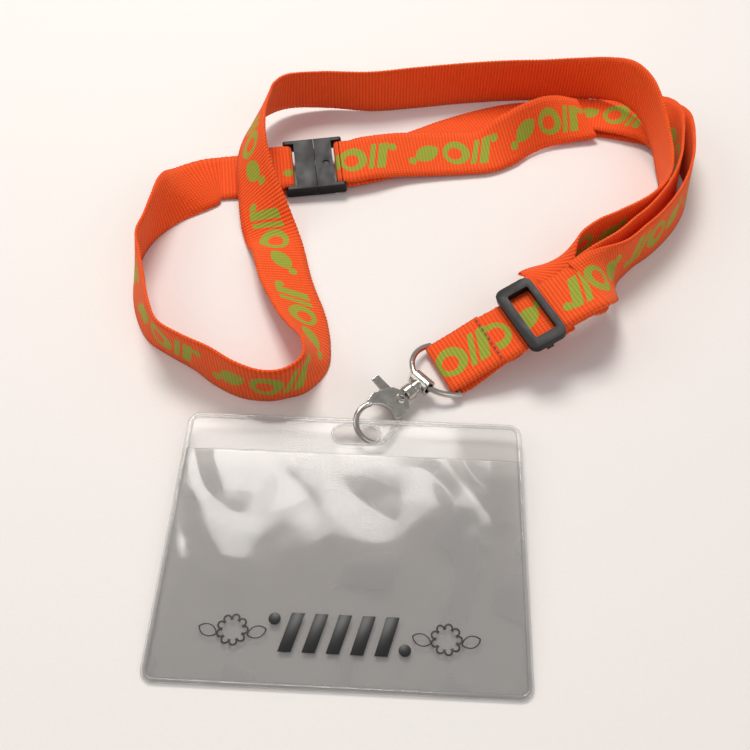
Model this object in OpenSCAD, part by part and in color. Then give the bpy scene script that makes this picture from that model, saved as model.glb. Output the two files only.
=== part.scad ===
// Lanyard badge holder: a clear welded vinyl pouch on a swivel snap hook, hung from a flat webbing
// neck strap with a D-ring, a sliding adjuster and a pull-apart safety buckle. The strap lies on a
// table, so its route is a list of points; every fitting takes its size from the webbing it holds.

/* [Webbing] */
// Width of the strap webbing
web_w = 20; // [16:0.5:25]
// Thickness of the strap webbing
web_t = 0.9; // [0.7:0.05:1.1]
// Play between the webbing's edge and each fitting's side wall
web_play = 0.4; // [0.3:0.05:0.8]

/* [D-ring] */
// Radius of the D-ring's round wire
ring_wire_r = 1.0; // [0.8:0.05:1.2]

/* [Swivel hook] */
// Length of the swivel head's barrel along the D-ring's wire
head_len = 7; // [5:0.1:8]
// Radius of the swivel head's eye
head_eye_r = 1.8; // [1.8:0.05:2.2]
// Radius of the swivel post
post_r = 0.9; // [0.7:0.05:1.1]
// Centre-line radius of the hook's round end
hook_r = 6.55; // [6.4:0.05:7.5]
// Radius of the hook's round wire
hook_wire_r = 0.95; // [0.8:0.05:1.0]
// Distance from the swivel head's eye to the centre of the hook's round end
hook_reach = 21.8; // [20:0.1:26]
// Roll of the hook as it lies, with its gate side down
hook_roll = 24; // [20:0.5:26]

/* [Badge pouch] */
// Width of the pouch over its welded rim
pouch_w = 106; // [80:1:130]
// Height of the pouch over its welded rim
pouch_h = 85.6; // [70:0.2:110]
// Radius of the pouch's outer corners
pouch_corner_r = 4; // [2:0.5:8]
// Thickness of each vinyl sheet
vinyl_t = 0.3; // [0.2:0.05:0.4]
// Space for the card between the two sheets
card_gap = 0.3; // [0.2:0.05:0.5]
// Width of the welded rim bead
rim_w = 1.8; // [1:0.1:1.8]
// Distance from the top edge down to the pocket's mouth
mouth_drop = 13.5; // [11:0.5:20]
// Length of the hanging slot
slot_len = 14; // [13:0.5:16]
// Height of the hanging slot
slot_h = 6; // [6:0.25:7]
// Distance from the top edge down to the middle of the slot
slot_drop = 5.8; // [5.8:0.1:8]

/* [Slider] */
// Length of the slider along the strap
slider_len = 13.4; // [12.6:0.2:18]
// Thickness of the slider's frame
slider_t = 2.6; // [2:0.1:4]

/* [Safety buckle] */
// Thickness of the buckle
buckle_t = 5; // [4.5:0.1:7]
// Length of the plug half's solid block
plug_block = 8; // [7:0.1:12]
// Length of the socket half's solid block
socket_block = 7; // [6.5:0.1:12]
// Radius of the buckle's two webbing bars
buckle_bar_r = 0.9; // [0.7:0.05:1.2]

/* [Hidden] */
$fn = 48;
eps = 0.01;
fit_gap = 0.06;                 // radial play of a pin in its hole
lay_gap = 0.15;                 // play between webbing and the bar it turns round

// The sewn end of the strap climbs from the D-ring's bar to the slider on this line.
bar_pos = [29.2, 55.4, 2.7];
run_yaw = 27;
run_pitch = 17;
slider_at = 31.6;
slider_z = 14.5;
bar_turn_r = ring_wire_r + lay_gap + web_t / 2;
function run_pt(a, q, z) = [bar_pos.x + a * cos(run_yaw) - q * sin(run_yaw),
                            bar_pos.y + a * sin(run_yaw) + q * cos(run_yaw), z];
function run_z(a) = slider_z + (a - slider_at) * tan(run_pitch);
run_left = [-sin(run_yaw), cos(run_yaw), 0];
stitch_at = 17;

// D-ring: a straight bar and a half-round bow, tilted up to the swivel head.
ring_r = web_w / 2 + web_play + ring_wire_r - 0.1;
ring_tilt = 14.5;
head_bow_angle = 18;

// Swivel head on the bow; its long axis points along the hook.
head_yaw = -45;
function tilt_y(p, a) = [p.x * cos(a) + p.z * sin(a), p.y, -p.x * sin(a) + p.z * cos(a)];
function turn_z(p, a) = [p.x * cos(a) - p.y * sin(a), p.x * sin(a) + p.y * cos(a), p.z];
function tilt_x(p, a) = [p.x, p.y * cos(a) - p.z * sin(a), p.y * sin(a) + p.z * cos(a)];
head_pos = bar_pos + turn_z(tilt_y([-ring_r * cos(head_bow_angle), -ring_r * sin(head_bow_angle), 0],
                                   ring_tilt), run_yaw);
hook_off = 1.7;                 // the round end sits to the gate's side of the swivel axis
hook_eye = head_pos + turn_z(tilt_y([hook_off, -hook_reach, 0], hook_roll), head_yaw);

// Pouch: hung by its slot, with its bottom edge on the table.
slot_side = 0.8;
slot_pos = hook_eye + [-6.0, -4.45, -0.08];
rim_r = 0.6;
pouch_low = pouch_h - slot_drop;
pouch_tilt = asin((slot_pos.z - rim_r - 0.05) / pouch_low);
sheet_t = 2 * vinyl_t + card_gap;

// Slider, measured from the webbing that runs through it.
slider_w = web_w + 2 * web_play + 6.2;
slider_bar_r = 0.6;
slider_loop_r = slider_bar_r + 0.1 + web_t / 2;
slider_bar_drop = web_t / 2 + 0.3 + web_t + 0.1 + slider_bar_r;
loop_tail = 12.5;
loop_stitch_at = 8.5;
slider_travel = 4;

// Buckle, lying tilted with its far side up.
buckle_pos = [-22.75, 152.8, 8.3];
buckle_turn = [12, -2, 9.2];
buckle_w = web_w + 2 * web_play + 3.2;
buckle_wall = 1.6;
bar_mid = -buckle_t / 2;
turn_r = buckle_bar_r + lay_gap + web_t / 2;
bar_clear = 0.9;
plug_bar_x = -(plug_block + bar_clear + turn_r + web_t / 2);
socket_bar_x = socket_block + bar_clear + turn_r + web_t / 2;
rail_past_bar = 1.5;
release_travel = 8;
prong_len = 5.6;
fold_len = 16;
function on_buckle(p) = buckle_pos + turn_z(tilt_y(tilt_x(p, buckle_turn.x), buckle_turn.y), buckle_turn.z);
buckle_across = on_buckle([0, 1, 0]) - buckle_pos;

// Route rings are [x, y, height of the lower edge, lean]: lean 0 is flat with the left edge on the
// left, 90 stands on edge, 180 is flat and turned over.
neck_far = [
    [64, 93.5, 5, 165], [68, 100.5, 2, 136], [74, 106.5, 0.5, 106], [83, 112.5, 0.3, 92],
    [92, 118, 0.2, 90], [104, 127, 0.2, 90], [112, 138, 0.3, 90], [115, 150, 0.8, 90],
    [115, 163, 2.6, 90], [113.5, 175, 6, 90], [110, 186, 9.4, 90], [104, 196, 9.8, 90],
    [96, 205, 5.4, 90], [85, 210, 1.4, 90], [70, 210, 0.2, 88], [54, 208.5, 0.2, 88], [35, 205.5, 0.2, 88],
    [16, 201.5, 0.2, 88], [-3, 197.5, 0.5, 85], [-22, 196.5, 1.5, 80], [-37, 192, 3.5, 76],
    [-44, 183.5, 5.5, 70], [-46.5, 173, 7.7, 62], [-47.5, 160.5, 9.3, 57], [-47, 148.5, 8.2, 52],
    [-44.5, 137.5, 4.6, 46], [-41, 127, 2, 30], [-36.5, 117, 0.8, 6]];
neck_near = [
    [-32.5, 107, 0.4, -16], [-28, 92, 0.3, -22], [-21, 75.5, 0.3, -32], [-16.5, 63, 0.3, -50],
    [-14.5, 54.5, 0.3, -68], [-16.5, 46, 0.3, -90], [-22, 41.5, 0.3, -100], [-29, 40, 0.3, -99],
    [-38, 42, 0.3, -93], [-47, 47, 0.3, -90], [-56, 52.5, 0.3, -96], [-65, 58, 0.3, -95],
    [-72, 66, 0.3, -80], [-77, 77, 0.3, -73], [-80.5, 88, 0.3, -74], [-82.5, 98, 0.3, -80],
    [-81.5, 108, 0.3, -80], [-79, 118, 0.3, -90], [-75, 128, 0.3, -112], [-69, 137.5, 0.3, -145]];
run_out = [
    [77.3, 81.6, 16.75, 14], [81.3, 86.3, 11.6, 34], [85, 91.8, 5.9, 56], [88.6, 97.2, 1.8, 76],
    [92, 101.6, 0.4, 87], [95.5, 105.5, 0.2, 90], [99.5, 110, 0.2, 90], [105.5, 116, 0.2, 88], [111.5, 123.5, 0.2, 86],
    [117, 132, 0.2, 84], [121.5, 141.5, 0.2, 83], [124.5, 151.5, 0.2, 84], [125.5, 161, 0.2, 88],
    [125, 170, 0.2, 97], [122.5, 178.5, 0.2, 114], [117.5, 186.5, 0.2, 137], [109, 192, 0.2, 161],
    [98, 195, 0.2, 176], [86, 197, 0.2, 180], [73, 197.5, 0.2, 180], [60, 195.5, 0.2, 180],
    [47, 190.5, 0.2, 180], [34, 184, 0.2, 180], [22, 176.5, 0.2, 180], [10, 168, 0.4, 178],
    [1, 161, 1.2, 174]];
run_back = [
    [88.5, 191, 2.4, 164], [79, 186.5, 1.8, 144], [70, 181.5, 1.4, 126], [62, 176.5, 1, 124],
    [54, 171.5, 1, 142],
    [45, 168, 1.3, 164], [34, 166, 1.5, 165], [22, 164, 2, 163], [10, 161.5, 3, 162],
    [-2, 157.5, 5, 166]];

function unit(v) = v / norm(v);
function along(pts, i) = unit(pts[min(i + 1, len(pts) - 1)] - pts[max(i - 1, 0)]);

// Each ring of webbing is [centre, direction across the webbing].
function route(list) = [for (i = [0 : len(list) - 1])
    let (p = list[i],
         t = unit([for (k = [0, 1]) list[min(i + 1, len(list) - 1)][k] - list[max(i - 1, 0)][k]]),
         rise = abs(sin(p[3])) * web_w / 2 + abs(cos(p[3])) * web_t / 2)
    [[p.x, p.y, p.z + rise], [-t.y * cos(p[3]), t.x * cos(p[3]), sin(p[3])]]];
// Rings lying behind the outgoing run, closest to it at both ends of the bend.
shared = 18;
function behind(rings) = let (pts = [for (r = rings) r[0]]) [for (i = [0 : shared])
    let (round = sin(180 * i / shared), gap = 4.4 - 1.8 * i / shared + 1.3 * round)
    [pts[i] - unit(cross(along(pts, i), rings[i][1])) * gap + [0, 0, 0.5 * round], rings[i][1]]];
function sheet_rings(pts, across) = [for (p = pts) [p, across]];

// A flat ribbon swept through its rings, four corners to a ring.
module ribbon(rings) {
    n = len(rings);
    centres = [for (r = rings) r[0]];
    corners = [for (i = [0 : n - 1])
        let (w = rings[i][1] * web_w / 2, f = unit(cross(along(centres, i), rings[i][1])) * web_t / 2)
        each [centres[i] - w - f, centres[i] + w - f, centres[i] + w + f, centres[i] - w + f]];
    sides = [for (i = [0 : n - 2], k = [0 : 3])
        let (a = 4 * i + k, b = 4 * i + (k + 1) % 4)
        each [[a, a + 4, b], [b, a + 4, b + 4]]];
    last = 4 * (n - 1);
    polyhedron(corners, concat(sides, [[0, 1, 2], [0, 2, 3], [last, last + 2, last + 1],
                                       [last, last + 3, last + 2]]));
}

// Rings of webbing turned half round a bar at the origin, in the plane of the run.
function half_turn(r, from, to, step) = [for (a = [from : step : to]) [r * cos(a), r * sin(a)]];

module on_run() {
    translate([bar_pos.x, bar_pos.y, 0]) rotate([0, 0, run_yaw]) children();
}

module on_slider() {
    on_run() translate([slider_at, 0, slider_z]) rotate([0, -run_pitch, 0]) children();
}

module on_buckle_place() {
    translate(buckle_pos) rotate(buckle_turn) children();
}

module on_hook() {
    translate(head_pos) rotate([0, 0, head_yaw]) rotate([0, hook_roll, 0]) children();
}

module on_pouch() {
    translate(slot_pos) rotate([pouch_tilt, 0, 0]) children();
}

// ---- Strap webbing -------------------------------------------------------------------------

// Long part of the neck strap: sewn round the D-ring's bar, right round the neck loop, and back
// to just short of the buckle's plug.
module strap_neck() {
    fold = concat(
        [[stitch_at, run_z(stitch_at) + web_t + 0.12], [9, 7.7]],
        [for (p = half_turn(bar_turn_r, 90, 270, 30)) [p.x, bar_pos.z + p.y]],
        [[5, 1.9], [11, 5.2], [stitch_at, run_z(stitch_at) - web_t - 0.12]]);
    under = [[21.5, 1, 7.9], [27, 3.5, 6.9], [33, 7, 6.9], [39, 10.5, 7.4], [45, 13, 8]];
    tail = on_buckle([plug_bar_x - fold_len - 2 - release_travel - 1.5, 0, bar_mid - turn_r]);
    rings = concat(
        sheet_rings([for (p = fold) run_pt(p[0], 0, p[1])], -run_left),
        sheet_rings([for (p = under) run_pt(p[0], p[1], p[2])], -run_left),
        route(concat(neck_far, neck_near)),
        sheet_rings([tail], -buckle_across));
    color("darkorange") ribbon(rings);
}

// Adjustable side: sewn in at the D-ring, through the slider, out to the buckle's socket bar.
module strap_run() {
    start = [for (a = [stitch_at, slider_at - 8, slider_at + 17.5]) run_pt(a, 0, run_z(a))];
    turn = [for (p = half_turn(turn_r, 270, 90, -30))
        on_buckle([socket_bar_x + p.x, 0, bar_mid + p.y])];
    rings = concat(
        sheet_rings(start, run_left),
        route(run_out),
        sheet_rings(turn, buckle_across));
    color("darkorange") ribbon(rings);
}

// Return of the adjustable side, from just short of the slider's loop to the socket bar.
module strap_return() {
    end_at = slider_at + loop_tail + slider_travel + 0.5;
    loop_low = slider_bar_drop - slider_loop_r;
    over = on_buckle([socket_bar_x + 0.3, 0, bar_mid + turn_r]);
    rings = concat(
        sheet_rings([run_pt(end_at, 0, run_z(end_at) - loop_low)], run_left),
        behind(route(run_out)),
        route(run_back),
        sheet_rings([over + [4, 0.65, -0.1], over], buckle_across));
    color("darkorange") ribbon(rings);
}

// End of the return, looped round the slider's middle bar and sewn to itself.
module strap_slider_loop() {
    rings = [for (p = concat([[loop_stitch_at + 2, -slider_loop_r]],
                             half_turn(slider_loop_r, 270, 90, -30),
                             [[loop_tail, slider_loop_r]]))
        [[p[0], 0, p[1] - slider_bar_drop], [0, 1, 0]]];
    color("darkorange") on_slider() ribbon(rings);
}

// End of the neck strap, turned round the plug's bar and sewn to itself.
module strap_buckle_fold() {
    rings = [for (p = concat([[-fold_len - 2, -turn_r]], half_turn(turn_r, -90, 90, 30),
                             [[-fold_len, turn_r]]))
        [[plug_bar_x + p[0], 0, bar_mid + p[1]], [0, 1, 0]]];
    color("darkorange") on_buckle_place() ribbon(rings);
}

// A row of stitches across the webbing, each a short bar sunk in its face.
module stitch_row(count, face_z) {
    pitch = (web_w - 3) / (count - 1);
    for (i = [0 : count - 1])
        translate([0, -(web_w - 3) / 2 + i * pitch, face_z])
            cube([0.5, pitch * 0.62, 0.24], center = true);
}

module dring_stitch() {
    color("saddlebrown") on_run() translate([stitch_at - 1.2, 0, run_z(stitch_at - 1.2) + 1.62 * web_t + 0.2])
        rotate([0, -run_pitch, 0]) stitch_row(9, 0.12);
}

module slider_stitch() {
    color("saddlebrown") on_slider()
        translate([loop_stitch_at, 0, -slider_bar_drop - slider_loop_r - web_t / 2]) stitch_row(9, -0.13);
}

module buckle_stitch() {
    color("firebrick") on_buckle_place()
        translate([plug_bar_x - fold_len + 1.5, 0, bar_mid + turn_r + web_t / 2]) stitch_row(9, 0.13);
}

// ---- Moulded fittings ----------------------------------------------------------------------

// Slider: a rounded frame over the webbing, with its middle bar slung below.
module slider() {
    frame_low = web_t / 2 + 0.25;
    left_bar = 3.4;
    right_bar = 2.3;
    window = [slider_len - left_bar - right_bar, web_w - 0.6];
    foot_x = 1.2;
    rail_mid = web_w / 2 + web_play + 0.9;
    module foot(side) {
        translate([-foot_x, side * rail_mid - 0.9, -slider_bar_drop - slider_bar_r])
            cube([2 * foot_x, 1.8, slider_bar_drop + slider_bar_r + frame_low + 0.5]);
    }
    color([0.06, 0.06, 0.06]) on_slider() {
        translate([0, 0, frame_low]) linear_extrude(slider_t) difference() {
            round_rect([slider_len, slider_w], 3);
            translate([(left_bar - right_bar) / 2, 0]) round_rect(window, 0.8);
        }
        for (side = [-1, 1]) foot(side);
        translate([0, 0, -slider_bar_drop]) rotate([90, 0, 0])
            cylinder(r = slider_bar_r, h = 2 * rail_mid, center = true);
    }
}

// Rectangle with round corners, made of a cross and four circles.
module round_rect(size, r) {
    square([size.x - 2 * r, size.y], center = true);
    square([size.x, size.y - 2 * r], center = true);
    for (x = [-1, 1], y = [-1, 1])
        translate([x * (size.x / 2 - r), y * (size.y / 2 - r)]) circle(r);
}

// One half's block, side rails and webbing bar; the mouth faces +X from x = 0.
module buckle_shell(block, bar_x) {
    rail_end = bar_x + rail_past_bar;
    for (side = [-1, 1])
        translate([0, side * (buckle_w - buckle_wall) / 2, -buckle_t / 2])
            rail(rail_end, buckle_wall);
    translate([block / 2 + 0.05, 0, -buckle_t / 2]) cube([block, buckle_w - 1, buckle_t], center = true);
    translate([bar_x, 0, -buckle_t / 2]) rotate([90, 0, 0])
        cylinder(r = buckle_bar_r, h = buckle_w - 1, center = true);
}

// Side rail with a rounded outer end.
module rail(length, wall) {
    translate([length / 2 - 0.45, 0, 0]) cube([length - 1, wall, buckle_t], center = true);
    translate([length - 1, 0, 0]) cube([2, wall, buckle_t - 1.6], center = true);
    for (z = [-1, 1])
        translate([length - 0.95, 0, z * (buckle_t / 2 - 0.8)]) rotate([90, 0, 0])
            cylinder(r = 0.8, h = wall, center = true);
}

prong_w = 4.6;
prong_h = 1.9;
prong_y = 6;

// Socket half: takes the plug's two prongs; a round dimple marks its face.
module buckle_socket() {
    color([0.05, 0.05, 0.05]) on_buckle_place() difference() {
        buckle_shell(socket_block, socket_bar_x);
        for (side = [-1, 1])
            translate([prong_len / 2, side * prong_y, bar_mid])
                cube([prong_len + 0.6, prong_w + 0.3, prong_h + 0.3], center = true);
        translate([socket_block * 0.62, -0.5, -0.45]) cylinder(r = 1.35, h = 1);
    }
}

// Plug half: two blunt prongs that pull out of the socket under load.
module buckle_plug() {
    color([0.05, 0.05, 0.05]) on_buckle_place() {
        mirror([1, 0, 0]) buckle_shell(plug_block, -plug_bar_x);
        for (side = [-1, 1])
            translate([prong_len / 2 - 0.6, side * prong_y, bar_mid])
                cube([prong_len, prong_w, prong_h], center = true);
    }
}

// ---- Metal fittings ------------------------------------------------------------------------

// D-ring: straight bar held in the webbing's fold, and a half-round bow.
module d_ring() {
    color("silver") translate(bar_pos) rotate([0, 0, run_yaw]) rotate([0, ring_tilt, 0]) {
        rotate([0, 0, 90]) rotate_extrude(angle = 180) translate([ring_r, 0]) circle(ring_wire_r);
        rotate([90, 0, 0]) cylinder(r = ring_wire_r, h = 2 * ring_r, center = true);
        for (side = [-1, 1]) translate([0, side * ring_r, 0]) sphere(ring_wire_r);
    }
}

head_shell_r = head_eye_r + 0.9;
neck_top = -head_shell_r - 1.9;
neck_wall = 1.5;
post_flare_r = post_r + 0.7;
post_flare_t = 1;
neck_len = 3.3;
neck_r = post_flare_r + 1.1;

// Swivel head: a barrel whose eye runs on the D-ring, with a collar for the post.
module swivel_head() {
    color("silver") translate(head_pos) rotate([0, 0, head_yaw]) difference() {
        union() {
            rotate([0, 90, 0]) cylinder(r = head_shell_r, h = head_len, center = true);
            translate([0, neck_top + 0.15, 0]) rotate([-90, 0, 0])
                cylinder(r = neck_r - 0.4, h = -neck_top - head_eye_r - 0.2);
        }
        rotate([0, 90, 0]) cylinder(r = head_eye_r, h = head_len + 1, center = true);
        translate([0, neck_top, 0]) rotate([-90, 0, 0])
            cylinder(r = post_r, h = -neck_top - head_eye_r - 0.5);
    }
}

// Swivel post: pressed into the head's collar, with a flare that the hook's neck turns on.
module swivel_post() {
    post_top = -head_eye_r - 0.6;
    flare_y = neck_top - neck_wall - 0.1;
    color("gainsboro") translate(head_pos) rotate([0, 0, head_yaw]) rotate([90, 0, 0]) {
        translate([0, 0, -post_top]) cylinder(r = post_r, h = post_top - flare_y);
        translate([0, 0, -flare_y]) cylinder(r = post_flare_r, h = post_flare_t);
    }
}

rivet_at = [-1.45, 11.9];       // from the centre of the hook's round end
plate_t = 2.2;
gate_t = 0.9;
gate_z = -plate_t / 2 - 0.1 - gate_t;
rivet_r = 1;
spring_r = 1.55;
spring_wire_r = 0.28;

// Hook: cast neck, plate and open round end in one piece.
module hook_body() {
    mouth = 5.65;
    color("silver") on_hook() {
        difference() {
            translate([0, neck_top, 0]) rotate([90, 0, 0]) cylinder(r = neck_r, h = neck_len);
            translate([0, neck_top + 1, 0]) rotate([90, 0, 0])
                cylinder(r = post_r + fit_gap, h = neck_len);
            translate([0, neck_top - neck_wall, 0]) rotate([90, 0, 0])
                cylinder(r = post_flare_r + 0.1, h = post_flare_t + 0.2);
        }
        translate([hook_off, -hook_reach, 0]) {
            difference() {
                translate([0, 0, -plate_t / 2]) linear_extrude(plate_t) difference() {
                    polygon([[-4.3, 13.4], [-3.6, 14.3], [0.2, 14.3], [0.9, 13.4], [2.8, 12],
                             [3.5, 8], [3, 6.2], [0, 4], [-5, 3], [-7.4, 2.2], [-8.4, 5], [-7.5, 9], [-6, 12.2]]);
                    translate([0, 0.9]) circle(mouth);
                    translate(rivet_at) circle(rivet_r);
                }
                translate([rivet_at.x, rivet_at.y, -plate_t / 2 - eps])
                    cylinder(r = spring_r + 0.5, h = 1.2);
            }
            rotate([0, 0, 155]) rotate_extrude(angle = 190) translate([hook_r, 0]) circle(hook_wire_r);
        }
    }
}

// Gate: a thumb lever under the plate that carries the finger closing the hook's mouth.
module gate_lever() {
    color("gainsboro") on_hook() translate([hook_off, -hook_reach, 0]) difference() {
        union() {
            translate([0, 0, gate_z]) linear_extrude(gate_t)
                polygon([[-12.4, 8.9], [-12.4, 11.7], [-6, 12.6], [-2.6, 13.5], [-0.3, 13.5], [1.6, 12.3],
                         [4.6, 8], [5.2, 5.2], [3.2, 5], [1.4, 8.4], [-1.2, 9.6], [-6, 9.2]]);
            translate([0, 0, gate_z]) linear_extrude(-gate_z + 0.85)
                polygon([[3.3, 5.3], [5.1, 5.3], [6.95, -0.7], [5.35, -1.05]]);
        }
        translate([rivet_at.x, rivet_at.y, gate_z - 1])
            cylinder(r = rivet_r + fit_gap, h = gate_t + 2);
    }
}

// Hollow rivet that holds the gate to the plate.
module gate_rivet() {
    top = plate_t / 2;
    low = gate_z - 0.1;
    color("gainsboro") on_hook() translate([hook_off + rivet_at.x, rivet_at.y - hook_reach, 0])
        difference() {
            union() {
                translate([0, 0, low - 0.3]) cylinder(r = rivet_r, h = top - low + 0.7);
                translate([0, 0, top]) cylinder(r = rivet_r + 0.65, h = 0.5);
                translate([0, 0, low - 0.4]) cylinder(r = rivet_r + 0.6, h = 0.4);
            }
            translate([0, 0, low - 1]) cylinder(r = rivet_r - 0.35, h = top - low + 3);
        }
}

// Two close turns of spring wire round the rivet, in the plate's recess.
module gate_spring() {
    color("dimgray") on_hook()
        translate([hook_off + rivet_at.x, rivet_at.y - hook_reach, -plate_t / 2 + 0.34])
            rotate_extrude() {
                translate([spring_r - 0.15, 0]) circle(spring_wire_r, $fn = 16);
                translate([spring_r - 0.15, 2 * spring_wire_r - 0.04]) circle(spring_wire_r, $fn = 16);
            }
}

// ---- Badge pouch ---------------------------------------------------------------------------

// Outline of the pouch in its own plane, with the slot's middle at the origin.
module pouch_outline(inset) {
    translate([-slot_side, slot_drop - pouch_h / 2])
        round_rect([pouch_w - 2 * inset, pouch_h - 2 * inset], pouch_corner_r - min(inset, pouch_corner_r - 1));
}

module slot_hole(grow) {
    half = (slot_len - slot_h) / 2;
    square([2 * half, slot_h + 2 * grow], center = true);
    for (side = [-1, 1]) translate([side * half, 0]) circle(slot_h / 2 + grow);
}

slot_weld_w = 0.9;

// Rear vinyl sheet, full size, with the hanging slot.
module pouch_back() {
    color([0.9, 0.93, 0.95, 0.5]) on_pouch() translate([0, 0, -sheet_t / 2])
        linear_extrude(vinyl_t) difference() {
            pouch_outline(rim_w);
            slot_hole(slot_weld_w);
        }
}

// Front vinyl sheet, from the bottom up to the pocket's mouth.
module pouch_front() {
    color([0.9, 0.93, 0.95, 0.5]) on_pouch() translate([0, 0, sheet_t / 2 - vinyl_t])
        linear_extrude(vinyl_t) difference() {
            pouch_outline(rim_w);
            translate([-pouch_w, slot_drop - mouth_drop]) square([2 * pouch_w, mouth_drop + 10]);
        }
}

// Welded bead round the rim, where the two sheets are melted together.
module pouch_rim() {
    color([0.9, 0.93, 0.95, 0.6]) on_pouch() translate([0, 0, -rim_r])
        linear_extrude(2 * rim_r) difference() {
            pouch_outline(0);
            pouch_outline(rim_w);
        }
}

// Welded ring round the hanging slot.
module slot_weld() {
    color([0.9, 0.93, 0.95, 0.6]) on_pouch() translate([0, 0, -sheet_t / 2])
        linear_extrude(sheet_t) difference() {
            slot_hole(slot_weld_w);
            slot_hole(0);
        }
}

print_t = 0.12;
print_row = 15.5;               // middle of the printed row above the bottom edge

module on_print_row(x) {
    on_pouch() translate([x - slot_side, slot_drop - pouch_h + print_row, sheet_t / 2]) children();
}

// Printed row of bold slanted bars between two dots.
module print_centre() {
    color([0.05, 0.05, 0.05]) on_print_row(0) linear_extrude(print_t) {
        for (i = [-2 : 2])
            translate([i * 6.6, 0])
                polygon([[-3.3, -5.5], [0.3, -5.5], [3.3, 5.5], [-0.3, 5.5]]);
        for (side = [-1, 1]) translate([side * 18.2, -side * 3.6]) circle(1.7);
    }
}

// Printed outline of a scalloped flower on two leaves.
module flower_mark() {
    line = 0.5;
    petals = 9;
    module petal_ring(grow) {
        circle(3.3 + grow);
        for (i = [0 : petals - 1])
            rotate(i * 360 / petals) translate([3.3, 0]) circle(1.25 + grow, $fn = 20);
    }
    linear_extrude(print_t) {
        difference() {
            petal_ring(0);
            petal_ring(-line);
        }
        for (side = [-1, 1])
            translate([side * 6.8, -0.4]) rotate(side * 20) difference() {
                leaf(3.2);
                leaf(3.2 - line);
            }
    }
}

module leaf(r) {
    intersection() {
        translate([0, -r * 0.45]) circle(r);
        translate([0, r * 0.45]) circle(r);
    }
}

module print_left() {
    color([0.2, 0.2, 0.2]) on_print_row(-29.5) flower_mark();
}

module print_right() {
    color([0.2, 0.2, 0.2]) on_print_row(29.5) flower_mark();
}

strap_neck();
strap_run();
strap_return();
strap_slider_loop();
strap_buckle_fold();
dring_stitch();
slider_stitch();
buckle_stitch();
slider();
buckle_plug();
buckle_socket();
d_ring();
swivel_head();
swivel_post();
hook_body();
gate_lever();
gate_rivet();
gate_spring();
pouch_back();
pouch_front();
pouch_rim();
slot_weld();
print_centre();
print_left();
print_right();
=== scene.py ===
"""Lanyard badge holder: printed webbing, black fittings, nickel hook and a clear vinyl pouch."""

import bmesh
import bpy
import math
from mathutils import Matrix, Vector


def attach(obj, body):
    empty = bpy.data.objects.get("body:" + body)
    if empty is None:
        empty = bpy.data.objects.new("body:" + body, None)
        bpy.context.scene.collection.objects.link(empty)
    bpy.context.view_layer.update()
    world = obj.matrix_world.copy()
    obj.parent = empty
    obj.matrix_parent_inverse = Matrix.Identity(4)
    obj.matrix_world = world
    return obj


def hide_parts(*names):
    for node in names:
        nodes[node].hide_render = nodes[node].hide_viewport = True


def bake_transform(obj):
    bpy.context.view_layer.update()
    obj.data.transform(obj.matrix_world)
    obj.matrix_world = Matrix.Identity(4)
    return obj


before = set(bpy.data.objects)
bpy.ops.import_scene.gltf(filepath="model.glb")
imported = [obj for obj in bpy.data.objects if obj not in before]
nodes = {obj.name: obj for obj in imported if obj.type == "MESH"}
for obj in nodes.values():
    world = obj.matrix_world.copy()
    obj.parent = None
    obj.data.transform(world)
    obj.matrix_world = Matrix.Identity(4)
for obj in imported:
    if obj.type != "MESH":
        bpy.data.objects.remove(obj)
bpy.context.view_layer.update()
scene = bpy.context.scene


# ---- Camera, floor and light --------------------------------------------------------------------
# The holder lies on a pale studio table, seen from its near side at about fifty degrees, with a
# large soft box high behind it that leaves short warm shadows in front of the webbing.

def linear(hex_colour):
    """sRGB hex such as '#F0570F' as linear red, green, blue and alpha."""
    parts = [int(hex_colour[i:i + 2], 16) / 255 for i in (1, 3, 5)]
    return [p / 12.92 if p <= 0.04045 else ((p + 0.055) / 1.055) ** 2.4 for p in parts] + [1]


def add_node(tree, kind, inputs=None, **settings):
    """Adds a shader node; inputs maps a socket's name or number to a value or to another socket."""
    made = tree.nodes.new(kind)
    for name, value in settings.items():
        setattr(made, name, value)
    for key, value in (inputs or {}).items():
        if isinstance(value, bpy.types.NodeSocket):
            tree.links.new(value, made.inputs[key])
        else:
            made.inputs[key].default_value = value
    return made


def new_material(name, roughness=0.5, metallic=0.0, **sockets):
    """An empty material with its Principled shader: returns material, tree and shader."""
    material = bpy.data.materials.new(name)
    material.use_nodes = True
    tree = material.node_tree
    tree.nodes.clear()
    shader = add_node(tree, "ShaderNodeBsdfPrincipled", {"Roughness": roughness, "Metallic": metallic})
    for key, value in sockets.items():
        shader.inputs[key.replace("_", " ")].default_value = value
    add_node(tree, "ShaderNodeOutputMaterial", {"Surface": shader.outputs[0]})
    return material, tree, shader


mm = 0.001
camera_data = bpy.data.cameras.new("camera")
camera_data.lens = 43.2
camera_data.sensor_width = 36
camera_data.clip_start = 0.01
camera = bpy.data.objects.new("camera", camera_data)
camera.matrix_world = (Matrix.Translation(Vector((14.0, -130.6, 241.9)) * mm)
                       @ Matrix.Rotation(math.radians(2.52), 4, "Z")
                       @ Matrix.Rotation(math.radians(37.37), 4, "X")
                       @ Matrix.Rotation(math.radians(0.3), 4, "Z"))
scene.collection.objects.link(camera)
scene.camera = camera

table_paint, tree, shader = new_material("table_matt_laminate", 0.62, Specular_IOR_Level=0.25)
speckle = add_node(tree, "ShaderNodeTexNoise", {"Scale": 900.0, "Detail": 2.0,
                   "Vector": add_node(tree, "ShaderNodeTexCoord").outputs["Object"]})
tint = add_node(tree, "ShaderNodeMix", {"Factor": speckle.outputs["Fac"], 6: linear("#E4DFDB"),
                7: linear("#E8E4E0")}, data_type="RGBA")
tree.links.new(tint.outputs[2], shader.inputs["Base Color"])

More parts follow.
